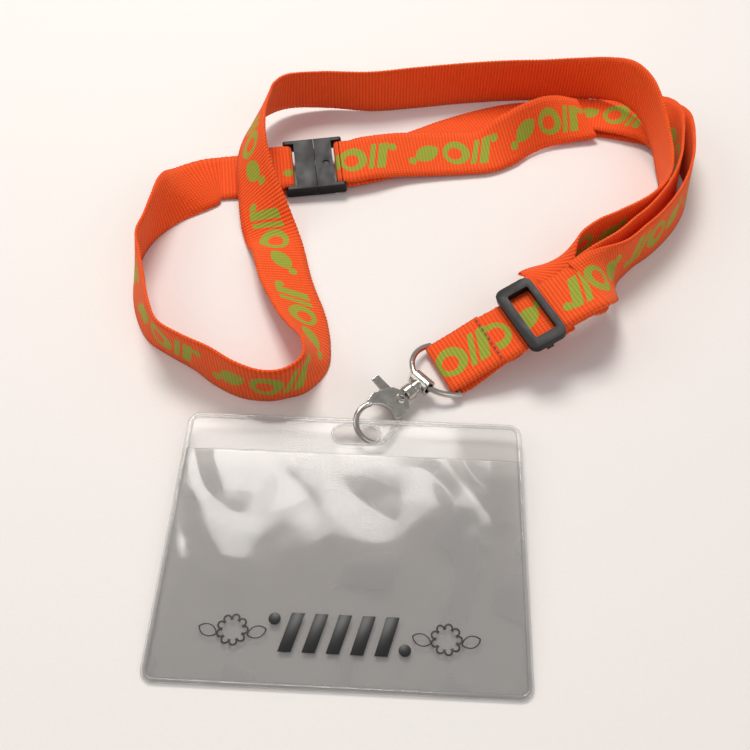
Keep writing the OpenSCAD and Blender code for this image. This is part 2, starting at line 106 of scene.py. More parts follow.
bm = bmesh.new()
bmesh.ops.create_grid(bm, x_segments=2, y_segments=2, size=2.5)
floor_mesh = bpy.data.meshes.new("table")
bm.to_mesh(floor_mesh)
bm.free()
floor = bpy.data.objects.new("table", floor_mesh)
floor.data.materials.append(table_paint)
scene.collection.objects.link(floor)


def soft_box(name, place, aim, size, power, colour):
    lamp = bpy.data.lights.new(name, "AREA")
    lamp.size = size
    lamp.energy = power
    lamp.color = linear(colour)[:3]
    made = bpy.data.objects.new(name, lamp)
    made.location = place
    made.rotation_mode = "QUATERNION"
    made.rotation_quaternion = (Vector(aim) - Vector(place)).to_track_quat("-Z", "Y")
    scene.collection.objects.link(made)


soft_box("key_light", (-0.12, 0.62, 0.95), (0.02, 0.1, 0), 0.42, 8.6, "#FFFBF6")
soft_box("fill_light", (0.7, -0.7, 0.9), (0.02, 0.08, 0), 1.0, 3.6, "#F6F8FF")
soft_box("left_light", (-0.9, 0.1, 0.7), (0.02, 0.08, 0), 0.8, 2.4, "#FFFFFF")
world = bpy.data.worlds.new("studio")
world.use_nodes = True
world.node_tree.nodes["Background"].inputs["Color"].default_value = linear("#EDEBEA")
world.node_tree.nodes["Background"].inputs["Strength"].default_value = 0.46
scene.world = world
scene.view_settings.view_transform = "Standard"


# ---- Webbing strands ----------------------------------------------------------------------------
# Twenty-millimetre polyester grosgrain, heat-printed on one face. It is woven on a needle loom,
# which leaves ribs across it and a line of small loops along each selvedge.

web_w, web_t = 20.0, 0.9
bar_pos = Vector((29.2, 55.4, 2.7))
yaw, pitch = math.radians(27), math.radians(17)
slider_at, slider_z = 31.6, 14.5
stitch_at = 17.0
run_left = Vector((-math.sin(yaw), math.cos(yaw), 0))
bar_turn_r = 1.0 + 0.15 + web_t / 2


def run_pt(a, q, z):
    """A point on the sewn end of the strap: a along it, q to its left, z its height."""
    return Vector((bar_pos.x + a * math.cos(yaw) - q * math.sin(yaw),
                   bar_pos.y + a * math.sin(yaw) + q * math.cos(yaw), z))


def run_z(a):
    return slider_z + (a - slider_at) * math.tan(pitch)


buckle_place = (Matrix.Translation((-22.75, 152.8, 8.3)) @ Matrix.Rotation(math.radians(9.2), 4, "Z")
                @ Matrix.Rotation(math.radians(-2), 4, "Y") @ Matrix.Rotation(math.radians(12), 4, "X"))
buckle_across = buckle_place.to_3x3() @ Vector((0, 1, 0))
slider_place = (Matrix.Translation(run_pt(slider_at, 0, slider_z)) @ Matrix.Rotation(yaw, 4, "Z")
                @ Matrix.Rotation(-pitch, 4, "Y"))
buckle_bar_mid = -2.5
buckle_turn_r = 0.9 + 0.15 + web_t / 2
plug_bar_x = -(8 + 0.9 + buckle_turn_r + web_t / 2)
socket_bar_x = 7 + 0.9 + buckle_turn_r + web_t / 2
fold_len = 16

# Places on the route are x, y, height of the lower edge and lean, in millimetres and degrees.
neck_far = [
    (64, 93.5, 5, 165), (68, 100.5, 2, 136), (74, 106.5, 0.5, 106), (83, 112.5, 0.3, 92),
    (92, 118, 0.2, 90), (104, 127, 0.2, 90), (112, 138, 0.3, 90), (115, 150, 0.8, 90),
    (115, 163, 2.6, 90), (113.5, 175, 6, 90), (110, 186, 9.4, 90), (104, 196, 9.8, 90),
    (96, 205, 5.4, 90), (85, 210, 1.4, 90), (70, 210, 0.2, 88), (54, 208.5, 0.2, 88),
    (35, 205.5, 0.2, 88), (16, 201.5, 0.2, 88), (-3, 197.5, 0.5, 85), (-22, 196.5, 1.5, 80),
    (-37, 192, 3.5, 76), (-44, 183.5, 5.5, 70), (-46.5, 173, 7.7, 62), (-47.5, 160.5, 9.3, 57),
    (-47, 148.5, 8.2, 52), (-44.5, 137.5, 4.6, 46), (-41, 127, 2, 30), (-36.5, 117, 0.8, 6)]
neck_near = [
    (-32.5, 107, 0.4, -16), (-28, 92, 0.3, -22), (-21, 75.5, 0.3, -32), (-16.5, 63, 0.3, -50),
    (-14.5, 54.5, 0.3, -68), (-16.5, 46, 0.3, -90), (-22, 41.5, 0.3, -100), (-29, 40, 0.3, -99),
    (-38, 42, 0.3, -93), (-47, 47, 0.3, -90), (-56, 52.5, 0.3, -96), (-65, 58, 0.3, -95),
    (-72, 66, 0.3, -80), (-77, 77, 0.3, -73), (-80.5, 88, 0.3, -74), (-82.5, 98, 0.3, -80),
    (-81.5, 108, 0.3, -80), (-79, 118, 0.3, -90), (-75, 128, 0.3, -112), (-69, 137.5, 0.3, -145)]
run_out = [
    (77.3, 81.6, 16.75, 14), (81.3, 86.3, 11.6, 34), (85, 91.8, 5.9, 56), (88.6, 97.2, 1.8, 76),
    (92, 101.6, 0.4, 87), (95.5, 105.5, 0.2, 90), (99.5, 110, 0.2, 90), (105.5, 116, 0.2, 88),
    (111.5, 123.5, 0.2, 86), (117, 132, 0.2, 84), (121.5, 141.5, 0.2, 83), (124.5, 151.5, 0.2, 84),
    (125.5, 161, 0.2, 88), (125, 170, 0.2, 97), (122.5, 178.5, 0.2, 114), (117.5, 186.5, 0.2, 137),
    (109, 192, 0.2, 161), (98, 195, 0.2, 176), (86, 197, 0.2, 180), (73, 197.5, 0.2, 180),
    (60, 195.5, 0.2, 180), (47, 190.5, 0.2, 180), (34, 184, 0.2, 180), (22, 176.5, 0.2, 180),
    (10, 168, 0.4, 178), (1, 161, 1.2, 174)]
run_back = [
    (88.5, 191, 2.4, 164), (79, 186.5, 1.8, 144), (70, 181.5, 1.4, 126), (62, 176.5, 1, 124),
    (54, 171.5, 1, 142),
    (45, 168, 1.3, 164), (34, 166, 1.5, 165), (22, 164, 2, 163), (10, 161.5, 3, 162),
    (-2, 157.5, 5, 166)]


def route(places):
    """Centres of the webbing and its directions across, from places on the table."""
    rings = []
    for i, (x, y, low, lean) in enumerate(places):
        before, after = places[max(i - 1, 0)], places[min(i + 1, len(places) - 1)]
        t = Vector((after[0] - before[0], after[1] - before[1])).normalized()
        c, s = math.cos(math.radians(lean)), math.sin(math.radians(lean))
        rise = abs(s) * web_w / 2 + abs(c) * web_t / 2
        rings.append((Vector((x, y, low + rise)), Vector((-t.y * c, t.x * c, s))))
    return rings


def behind(rings, shared=18):
    """Rings that lie behind the outgoing run, closest to it at both ends of the bend."""
    made = []
    for i in range(shared + 1):
        along = (rings[min(i + 1, len(rings) - 1)][0] - rings[max(i - 1, 0)][0]).normalized()
        swell = math.sin(math.pi * i / shared)
        gap = 4.4 - 1.8 * i / shared + 1.3 * swell
        off = along.cross(rings[i][1]).normalized() * gap
        made.append((rings[i][0] - off + Vector((0, 0, 0.5 * swell)), rings[i][1]))
    return made


def half_turn(r, start, stop, step):
    return [(r * math.cos(math.radians(a)), r * math.sin(math.radians(a)))
            for a in range(start, stop + (1 if step > 0 else -1), step)]


def smooth_rings(rings, pace=0.8):
    """A Catmull-Rom spline through the rings, with a ring about every pace millimetres."""
    out = []
    for i in range(len(rings) - 1):
        quad = [rings[max(i - 1, 0)], rings[i], rings[i + 1], rings[min(i + 2, len(rings) - 1)]]
        steps = max(1, round((rings[i + 1][0] - rings[i][0]).length / pace))
        for k in range(steps):
            t = k / steps
            w = (-t + 2 * t ** 2 - t ** 3, 2 - 5 * t ** 2 + 3 * t ** 3,
                 t + 4 * t ** 2 - 3 * t ** 3, t ** 3 - t ** 2)
            centre = sum((q[0] * f / 2 for q, f in zip(quad, w)), Vector())
            across = sum((q[1] * f / 2 for q, f in zip(quad, w)), Vector()).normalized()
            out.append((centre, across))
    return out + [rings[-1]]


grosgrain_pitch = 1.35          # drawn a little coarser than the real 0.9 mm, so that the ribs show


def webbing_material(name, printed):
    """Printed or plain face of the grosgrain; its UV map is in millimetres, along and across."""
    material, tree, shader = new_material(name, 0.78, Specular_IOR_Level=0.32, Sheen_Weight=0.25,
                                          Sheen_Roughness=0.5)
    shader.inputs["Sheen Tint"].default_value = linear("#FFB070")

    def math_node(operation, a, b=0.0, c=0.0):
        return add_node(tree, "ShaderNodeMath", {0: a, 1: b, 2: c}, operation=operation).outputs[0]

    uv = add_node(tree, "ShaderNodeUVMap", uv_map="UVMap")
    split = add_node(tree, "ShaderNodeSeparateXYZ", {"Vector": uv.outputs[0]})
    u, v = split.outputs[0], split.outputs[1]
    # Ribs run across the webbing; each picks bundles its threads into short rounded floats.
    rib = math_node("SINE", math_node("MULTIPLY", u, 2 * math.pi / grosgrain_pitch))
    floats = math_node("SINE", math_node("MULTIPLY", v, 2 * math.pi / 1.05))
    weave = math_node("MULTIPLY_ADD", floats, 0.35, rib)
    fuzz = add_node(tree, "ShaderNodeTexNoise", {"Scale": 2.2, "Detail": 5.0, "Vector": uv.outputs[0]})
    wash = add_node(tree, "ShaderNodeTexNoise", {"Scale": 0.06, "Detail": 3.0, "Vector": uv.outputs[0]})
    # Painted shade: the rib pattern also drives the colour, so rib valleys are painted darker and rib
    # crests lighter. Random yarn tone from the fuzz noise is added on top.
    rib_shade_and_tone = math_node("MULTIPLY_ADD", weave, 0.16, 0.5)
    rib_shade_and_tone = math_node("ADD", rib_shade_and_tone, math_node("MULTIPLY_ADD", fuzz.outputs["Fac"], 0.5, -0.25))
    # The ramp's dark end is painted rib shade and its light end is painted rib highlight.
    rib_shaded_yarn = add_node(tree, "ShaderNodeValToRGB", {"Fac": rib_shade_and_tone})
    rib_shaded_yarn.color_ramp.elements[0].position = 0.15
    rib_shaded_yarn.color_ramp.elements[0].color = linear("#C9360A")
    rib_shaded_yarn.color_ramp.elements[1].position = 0.85
    rib_shaded_yarn.color_ramp.elements[1].color = linear("#FF6A1C")
    middle = rib_shaded_yarn.color_ramp.elements.new(0.5)
    middle.color = linear("#F2500F")
    aged = add_node(tree, "ShaderNodeMix", {"Factor": math_node("MULTIPLY", wash.outputs["Fac"], 0.25),
                    6: rib_shaded_yarn.outputs[0], 7: linear("#E84708")}, data_type="RGBA")
    colour, height = aged.outputs[2], weave
    if printed:
        # The motif is a slanted bar, a ring and a leaf between two dots, repeated along the webbing.
        x = math_node("SUBTRACT", math_node("MULTIPLY", math_node("FRACT",
                      math_node("DIVIDE", u, 43.0)), 43.0), 21.5)
        slant = math_node("MULTIPLY_ADD", v, -0.35, x)

        def bar(centre, half, tall):
            return math_node("MULTIPLY",
                             math_node("LESS_THAN",
                                       math_node("ABSOLUTE", math_node("SUBTRACT", slant, centre)), half),
                             math_node("LESS_THAN", math_node("ABSOLUTE", v), tall))

        def distance(cx, cy):
            dx, dy = math_node("SUBTRACT", x, cx), math_node("SUBTRACT", v, cy)
            return math_node("SQRT", math_node("ADD", math_node("MULTIPLY", dx, dx),
                                               math_node("MULTIPLY", dy, dy)))

        def disc(cx, cy, r):
            return math_node("LESS_THAN", distance(cx, cy), r)

        ring = math_node("SUBTRACT", disc(0, 0, 5.6), disc(0.7, 0.4, 2.9))
        leaf = math_node("MULTIPLY", disc(13.6, -2.6, 6.4), disc(10.8, 2.6, 6.4))
        shapes = [bar(-12.2, 1.9, 5.8), bar(-8.0, 1.1, 5.8), ring, leaf, disc(-17.2, -3.6, 1.7),
                  disc(18.6, 3.4, 1.7)]
        ink = shapes[0]
        for shape in shapes[1:]:
            ink = math_node("MAXIMUM", ink, shape)
        broken = math_node("MULTIPLY_ADD", fuzz.outputs["Fac"], 0.35, 0.78)
        ink = math_node("MINIMUM", math_node("MULTIPLY", ink, broken), 1.0)
        # The green ink gets the same painted rib shade, darker in the rib valleys and lighter on the
        # crests, plus random tone.
        green = add_node(tree, "ShaderNodeMix", {"Factor": rib_shade_and_tone, 6: linear("#6E8420"),
                         7: linear("#A0B43A")}, data_type="RGBA")
        inked = add_node(tree, "ShaderNodeMix", {"Factor": ink, 6: colour, 7: green.outputs[2]},
                         data_type="RGBA")
        colour = inked.outputs[2]
        height = math_node("MULTIPLY", weave, math_node("MULTIPLY_ADD", ink, -0.45, 1.0))
    bump = add_node(tree, "ShaderNodeBump", {"Height": height, "Strength": 0.55, "Distance": 0.00022})
    tree.links.new(colour, shader.inputs["Base Color"])
    tree.links.new(bump.outputs[0], shader.inputs["Normal"])
    return material


printed_face = webbing_material("grosgrain_printed_face", True)
plain_face = webbing_material("grosgrain_plain_face", False)


def ribbon(name, rings, print_side, body, stands_for, phase=0.0, pace=0.8):
    """Webbing along its rings, printed on the side that print_side names; returns it and its path."""
    rings = smooth_rings(rings, pace)
    centres = [r[0] for r in rings]
    run = [0.0]
    for a, b in zip(centres, centres[1:]):
        run.append(run[-1] + (b - a).length)
    cells_across = 8
    bm = bmesh.new()
    uv = bm.loops.layers.uv.new("UVMap")
    bmesh.ops.create_grid(bm, x_segments=len(rings) - 1, y_segments=cells_across, size=1)
    last = len(rings) - 1
    spots = {}
    for vert in bm.verts:
        i = round((vert.co.x + 1) / 2 * last)
        across = vert.co.y * web_w / 2
        spots[vert] = (run[i] + phase, across * print_side)
        centre, direction = rings[i]
        along = (centres[min(i + 1, last)] - centres[max(i - 1, 0)]).normalized()
        up = along.cross(direction).normalized() * print_side
        if abs(vert.co.y) > 0.99:
            across += math.copysign(0.16 * math.sin(run[i] * math.pi / 0.8) - 0.1, across)
        vert.co = (centre + direction * across + up * web_t / 2) * mm
    for face in bm.faces:
        for loop in face.loops:
            loop[uv].uv = spots[loop.vert]
    if print_side < 0:
        bmesh.ops.reverse_faces(bm, faces=bm.faces)
    mesh = bpy.data.meshes.new(name)
    bm.to_mesh(mesh)
    bm.free()
    mesh.materials.append(printed_face)
    mesh.materials.append(plain_face)
    for polygon in mesh.polygons:
        polygon.use_smooth = True
    made = bpy.data.objects.new(name, mesh)
    scene.collection.objects.link(made)
    wall = made.modifiers.new("thickness", "SOLIDIFY")
    wall.thickness = web_t * mm
    wall.offset = -1
    wall.material_offset = 1
    wall.material_offset_rim = 1
    if body:
        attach(made, body)
    if stands_for:
        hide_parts(*stands_for)
    return made, [c * mm for c in centres], run[-1] * mm


def flat(points, across):
    return [(Vector(p), across) for p in points]


fold = ([(stitch_at, run_z(stitch_at) + web_t + 0.12), (9, 7.7)]
        + [(x, bar_pos.z + z) for x, z in half_turn(bar_turn_r, 90, 270, 30)]
        + [(5, 1.9), (11, 5.2), (stitch_at, run_z(stitch_at) - web_t - 0.12)])
under = [(21.5, 1, 7.9), (27, 3.5, 6.9), (33, 7, 6.9), (39, 10.5, 7.4), (45, 13, 8)]
tail = buckle_place @ Vector((plug_bar_x - fold_len - 2 - 9.5, 0, buckle_bar_mid - buckle_turn_r))
neck_rings = (flat([run_pt(a, 0, z) for a, z in fold], -run_left)
              + flat([run_pt(*p) for p in under], -run_left)
              + route(neck_far + neck_near) + flat([tail], -buckle_across))
turn = [buckle_place @ Vector((socket_bar_x + x, 0, buckle_bar_mid + z))
        for x, z in half_turn(buckle_turn_r, 270, 90, -30)]
run_rings = (flat([run_pt(a, 0, run_z(a)) for a in (stitch_at, slider_at - 8, slider_at + 17.5)], run_left)
             + route(run_out) + flat(turn, buckle_across))
loop_low = (web_t / 2 + 0.3 + web_t + 0.1 + 0.6) - (0.6 + 0.1 + web_t / 2)
return_at = slider_at + 12.5 + 4.5
over = buckle_place @ Vector((socket_bar_x + 0.3, 0, buckle_bar_mid + buckle_turn_r))
return_rings = (flat([run_pt(return_at, 0, run_z(return_at) - loop_low)], run_left)
                + behind(route(run_out)) + route(run_back)
                + flat([over + Vector((4, 0.65, -0.1)), over], buckle_across))

neck, neck_path, neck_length = ribbon("neck_webbing", neck_rings, 1, "strap", ["strap_neck"], 6)
outer, outer_path, outer_length = ribbon("adjusting_webbing", run_rings, 1, "strap", ["strap_run"], 20)
inner, inner_path, inner_length = ribbon("return_webbing", return_rings, -1, "strap", ["strap_return"], 8)


# ---- Sewn ends of the webbing -------------------------------------------------------------------
# The strap's end is turned round the plug's bar, and the return is turned round the slider's middle
# bar. Both are the same webbing, sewn back on themselves.

loop_r = 0.6 + 0.1 + web_t / 2
slider_drop = web_t / 2 + 0.3 + web_t + 0.1 + 0.6
slider_across = slider_place.to_3x3() @ Vector((0, 1, 0))
slider_loop = [slider_place @ Vector((x, 0, z - slider_drop)) for x, z in
               [(10.5, -loop_r)] + half_turn(loop_r, 270, 90, -30) + [(12.5, loop_r)]]
ribbon("slider_webbing_loop", flat(slider_loop, slider_across), -1, "slider", ["strap_slider_loop"], 3)
plug_fold = [buckle_place @ Vector((plug_bar_x + x, 0, buckle_bar_mid + z)) for x, z in
             [(-fold_len - 2, -buckle_turn_r)] + half_turn(buckle_turn_r, -90, 90, 30)
             + [(-fold_len, buckle_turn_r)]]
join_rings = [(tail, -buckle_across), (plug_fold[0], -buckle_across)]
ribbon("buckle_webbing_fold", flat(plug_fold, buckle_across), -1, "buckle_plug", ["strap_buckle_fold"], 17)

# Short lengths that join the neck webbing's tail to the buckle's fold, and the slider's loop to the return
# webbing.
for name, ends, bodies, side in (
        ("neck_webbing_join", join_rings, ("strap", "buckle_plug"), 1),
        ("slider_webbing_join", [(slider_loop[-1], slider_across), return_rings[0]],
         ("slider", "strap"), -1)):
    join = ribbon(name, ends, side, None, [], 3)[0]
    held = bpy.data.meshes.new_from_object(join.evaluated_get(bpy.context.evaluated_depsgraph_get()))
    join.modifiers.clear()
    join.data = held
    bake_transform(join)


# ---- Stitches -----------------------------------------------------------------------------------
# Each fold is closed with one dark red-brown row of machine lock stitches, pulled down into the
# ribs; every stitch is a short twisted thread with rounded ends.

def finished(node, name, body, material, bevel, segments=2, cells=0.0, passes=6):
    """A CAD node's shape with softened edges, or skinned afresh where cells is its grain in mm."""
    bm = bmesh.new()
    bm.from_mesh(nodes[node].data)
    bmesh.ops.remove_doubles(bm, verts=bm.verts, dist=1e-6)
    bmesh.ops.dissolve_limit(bm, angle_limit=math.radians(1), verts=bm.verts, edges=bm.edges)
    mesh = bpy.data.meshes.new(name)
    bm.to_mesh(mesh)
    bm.free()
    made = bpy.data.objects.new(name, mesh)
    scene.collection.objects.link(made)
    if cells:
        skin = made.modifiers.new("skin", "REMESH")
        skin.mode = "VOXEL"
        skin.voxel_size = cells * mm
        ease = made.modifiers.new("ease", "SMOOTH")
        ease.factor = 0.5
        ease.iterations = passes
    else:
        edge = made.modifiers.new("edges", "BEVEL")
        edge.width = bevel * mm
        edge.segments = segments
        edge.limit_method = "ANGLE"
        edge.angle_limit = math.radians(40)
        edge.use_clamp_overlap = True
    held = bpy.data.meshes.new_from_object(made.evaluated_get(bpy.context.evaluated_depsgraph_get()))
    made.modifiers.clear()
    made.data = held
    held.name = name
    held.materials.clear()
    held.materials.append(material)
    held.shade_smooth()
    if not cells:
        held.set_sharp_from_angle(angle=math.radians(32))
    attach(made, body)
    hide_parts(node)
    return made


thread, tree, shader = new_material("bonded_polyester_thread", 0.6, Sheen_Weight=0.3)
# Painted shade and highlight: the thread's twist is painted as alternating dark and light bands of one
# red-brown, standing in for light on its plies.
twist = add_node(tree, "ShaderNodeTexWave", {"Scale": 1400.0, "Distortion": 1.0,
                 "Vector": add_node(tree, "ShaderNodeTexCoord").outputs["Object"]})
twist_shading = add_node(tree, "ShaderNodeMix", {"Factor": twist.outputs["Fac"], 6: linear("#4A1A0E"),
               7: linear("#8A3A1C")}, data_type="RGBA")
tree.links.new(twist_shading.outputs[2], shader.inputs["Base Color"])
finished("dring_stitch", "dring_stitches", "strap", thread, 0.09)
finished("slider_stitch", "slider_stitches", "slider", thread, 0.09)
finished("buckle_stitch", "buckle_stitches", "buckle_plug", thread, 0.09)


# ---- Slider and safety buckle -------------------------------------------------------------------
# Injection-moulded acetal, black through and through. Its faces carry a fine spark-eroded grain
# and its edges are rounded by the mould, so they catch a thin line of light.

acetal, tree, shader = new_material("acetal_moulded_black", 0.42, Specular_IOR_Level=0.28, IOR=1.48)
where = add_node(tree, "ShaderNodeTexCoord").outputs["Object"]
grain = add_node(tree, "ShaderNodeTexNoise", {"Scale": 3500.0, "Detail": 3.0, "Vector": where})
handling = add_node(tree, "ShaderNodeTexNoise", {"Scale": 180.0, "Detail": 4.0, "Vector": where})
polish = add_node(tree, "ShaderNodeMapRange", {"Value": handling.outputs["Fac"], 1: 0.3, 2: 0.7, 3: 0.38,
                  4: 0.52})
tone = add_node(tree, "ShaderNodeMix", {"Factor": handling.outputs["Fac"], 6: linear("#0C0C0D"),
                7: linear("#151517")}, data_type="RGBA")
relief = add_node(tree, "ShaderNodeBump", {"Height": grain.outputs["Fac"], "Strength": 0.25,
                  "Distance": 0.00003})
tree.links.new(tone.outputs[2], shader.inputs["Base Color"])
tree.links.new(polish.outputs[0], shader.inputs["Roughness"])
tree.links.new(relief.outputs[0], shader.inputs["Normal"])
finished("slider", "slider_frame", "slider", acetal, 0.45, 3)
finished("buckle_plug", "buckle_plug_shell", "buckle_plug", acetal, 0.28, 3)
finished("buckle_socket", "buckle_socket_shell", "strap", acetal, 0.28, 3)


# ---- D-ring, swivel hook and gate ---------------------------------------------------------------
# The D-ring is bent steel wire, and the head, hook and gate are cast zinc. All are barrel-tumbled
# and bright nickel plated, so every edge is round and the plating is mirror-like with faint haze.

nickel, tree, shader = new_material("nickel_plate_bright", 0.2, 1.0)
where = add_node(tree, "ShaderNodeTexCoord").outputs["Object"]
haze = add_node(tree, "ShaderNodeTexNoise", {"Scale": 420.0, "Detail": 5.0, "Vector": where})
rough = add_node(tree, "ShaderNodeMapRange", {"Value": haze.outputs["Fac"], 1: 0.3, 2: 0.75, 3: 0.12,
                 4: 0.3})
plate = add_node(tree, "ShaderNodeMix", {"Factor": haze.outputs["Fac"], 6: linear("#A9A49C"),
                 7: linear("#CFCBC4")}, data_type="RGBA")
cast = add_node(tree, "ShaderNodeTexNoise", {"Scale": 900.0, "Detail": 2.0, "Vector": where})
relief = add_node(tree, "ShaderNodeBump", {"Height": cast.outputs["Fac"], "Strength": 0.2,
                  "Distance": 0.00008})
tree.links.new(plate.outputs[2], shader.inputs["Base Color"])
tree.links.new(rough.outputs[0], shader.inputs["Roughness"])
tree.links.new(relief.outputs[0], shader.inputs["Normal"])
finished("d_ring", "d_ring_wire", "d_ring", nickel, 0, cells=0.22, passes=4)
finished("swivel_head", "swivel_head_casting", "swivel_head", nickel, 0, cells=0.16)
finished("swivel_post", "swivel_post_pin", "swivel_head", nickel, 0.12)
finished("hook_body", "hook_casting", "hook", nickel, 0, cells=0.17)
finished("gate_lever", "gate_casting", "gate", nickel, 0, cells=0.14)
finished("gate_rivet", "gate_rivet_turned", "hook", nickel, 0.12)

spring_wire, tree, shader = new_material("spring_steel_drawn", 0.35, 1.0)
drawn = add_node(tree, "ShaderNodeTexNoise", {"Scale": 2600.0, "Detail": 2.0,
                 "Vector": add_node(tree, "ShaderNodeTexCoord").outputs["Object"]})
steel = add_node(tree, "ShaderNodeMix", {"Factor": drawn.outputs["Fac"], 6: linear("#6E6E70"),
                 7: linear("#9A9A9C")}, data_type="RGBA")
tree.links.new(steel.outputs[2], shader.inputs["Base Color"])
finished("gate_spring", "gate_spring_turns", "hook", spring_wire, 0.02)


# ---- Vinyl pouch --------------------------------------------------------------------------------
# Two sheets of plasticised PVC, the rear one with a slot, are welded together round the rim by a
# heated die, which leaves a rounded bead. The sheets wave a little and cling in wet-looking patches.

pouch_w, pouch_h, corner_r, rim_w = 106.0, 85.6, 4.0, 1.8
slot_len, slot_h, slot_drop, slot_side = 14.0, 6.0, 5.8, 0.8
mouth_drop = 13.5
print_top = 23.0                # the sheet stays flat up to here, above the bottom edge
slot_mid = Vector((1.198, 26.602, 4.619))
pouch_tilt = math.radians(2.851)
pouch_place = Matrix.Translation(slot_mid * mm) @ Matrix.Rotation(pouch_tilt, 4, "X")
sheet_mid = Vector((-slot_side, slot_drop - pouch_h / 2))


def vinyl_material(name, cling):
    material, tree, shader = new_material(name, 0.09, IOR=1.53, Coat_Weight=0.6, Coat_Roughness=0.05)
    where = add_node(tree, "ShaderNodeTexCoord").outputs["Object"]
    wave = add_node(tree, "ShaderNodeTexNoise", {"Scale": 34.0, "Detail": 2.0, "Roughness": 0.45,
                    "Vector": where})
    patch = add_node(tree, "ShaderNodeTexNoise", {"Scale": 46.0, "Detail": 1.5, "Roughness": 0.4,
                     "Distortion": 0.6, "Vector": where})
    wet = add_node(tree, "ShaderNodeMapRange", {"Value": patch.outputs["Fac"], 1: 0.585, 2: 0.6, 3: 0.0,
                   4: cling})
    edge = add_node(tree, "ShaderNodeLayerWeight", {"Blend": 0.35})
    veil = add_node(tree, "ShaderNodeMath", {0: edge.outputs["Fresnel"], 1: 0.5, 2: 0.13},
                    operation="MULTIPLY_ADD")
    cover = add_node(tree, "ShaderNodeMath", {0: veil.outputs[0], 1: wet.outputs[0]}, operation="ADD",
                     use_clamp=True)
    tone = add_node(tree, "ShaderNodeMix", {"Factor": wet.outputs[0], 6: linear("#B9B6B4"),
                    7: linear("#8A8886")}, data_type="RGBA")
    ripple = add_node(tree, "ShaderNodeBump", {"Height": wave.outputs["Fac"], "Strength": 0.2,
                      "Distance": 0.004})
    tree.links.new(tone.outputs[2], shader.inputs["Base Color"])
    tree.links.new(cover.outputs[0], shader.inputs["Alpha"])
    tree.links.new(ripple.outputs[0], shader.inputs["Normal"])
    return material


vinyl = vinyl_material("pvc_film_clear", 0.08)
vinyl_plain = vinyl_material("pvc_film_rear", 0.0)


def held_copy(made):
    """The object with its modifiers worked into its mesh."""
    held = bpy.data.meshes.new_from_object(made.evaluated_get(bpy.context.evaluated_depsgraph_get()))
    made.modifiers.clear()
    made.data = held
    return made


def sheet_piece(name, top, height_mm, sag):
    """A waved sheet with round corners, top millimetres below the pouch's upper edge."""
    wide, tall = pouch_w - 1.2, pouch_h - 0.6 - max(top, 0.6)
    bm = bmesh.new()
    bmesh.ops.create_grid(bm, x_segments=106, y_segments=80, size=0.5)
    for vert in bm.verts:
        x, y = vert.co.x * wide, vert.co.y * tall
        cx, cy = wide / 2 - corner_r + 0.6, tall / 2 - corner_r + 0.6
        if abs(x) > cx and abs(y) > cy and (y < 0 or top < 1):
            out = Vector((abs(x) - cx, abs(y) - cy))
            reach = max(out.x, out.y)
            out = out.normalized() * reach if out.length else out
            x, y = math.copysign(cx + out.x, x), math.copysign(cy + out.y, y)
        y_mid = (-max(top, 0.6) + (-pouch_h + 0.6)) / 2 + slot_drop
        rise = sag * math.sin(x * 0.085 + 0.7) * math.cos(y * 0.07) * 0.5
        rise += sag * 0.25 * math.sin(x * 0.21 + y * 0.13)
        edge = min(1, (wide / 2 - abs(x)) / 9, (tall / 2 - abs(y)) / 9 if top < 1 or y < 0 else 1)
        edge = min(edge, (y + tall / 2 - print_top) / 12)
        vert.co = Vector((x - slot_side, y + y_mid, height_mm + abs(rise) * max(edge, 0))) * mm
    bmesh.ops.recalc_face_normals(bm, faces=bm.faces)
    mesh = bpy.data.meshes.new(name)
    bm.to_mesh(mesh)
    bm.free()
    made = bpy.data.objects.new(name, mesh)
    scene.collection.objects.link(made)
    wall = made.modifiers.new("thickness", "SOLIDIFY")
    wall.thickness = 0.3 * mm
    wall.offset = 0
    return held_copy(made)


def stadium(name, half, r, depth):
    """A slot-shaped plug, used to punch the hanging slot."""
    bm = bmesh.new()
    bmesh.ops.create_circle(bm, cap_ends=True, segments=48, radius=r * mm)
    for vert in bm.verts:
        vert.co.x += math.copysign(half * mm, vert.co.x)
    bottom = bm.faces[:]
    grown = bmesh.ops.extrude_face_region(bm, geom=bottom)
    bmesh.ops.translate(bm, vec=(0, 0, depth * mm),
                        verts=[g for g in grown["geom"] if isinstance(g, bmesh.types.BMVert)])
    bmesh.ops.translate(bm, vec=(0, 0, -depth / 2 * mm), verts=bm.verts)
    bmesh.ops.recalc_face_normals(bm, faces=bm.faces)
    mesh = bpy.data.meshes.new(name)
    bm.to_mesh(mesh)
    bm.free()
    made = bpy.data.objects.new(name, mesh)
    scene.collection.objects.link(made)
    return made


def settle(made, material, stands_for):
    """Puts a pouch piece in its place and on its body."""
    made.data.transform(pouch_place)
    made.data.materials.clear()
    made.data.materials.append(material)
    made.data.shade_smooth()
    made.data.set_sharp_from_angle(angle=math.radians(40))
    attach(made, "pouch")
    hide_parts(*stands_for)
    return made


rear = sheet_piece("rear_vinyl", 0, -0.3, 0.0)
punch = stadium("punch", (slot_len - slot_h) / 2, slot_h / 2, 4)
cut = rear.modifiers.new("slot", "BOOLEAN")
cut.operation = "DIFFERENCE"
cut.object = punch
cut.solver = "EXACT"
held_copy(rear)
bpy.data.objects.remove(punch)
settle(rear, vinyl_plain, ["pouch_back"])
front = settle(sheet_piece("front_vinyl", mouth_drop, 0.3, 0.75), vinyl, ["pouch_front"])


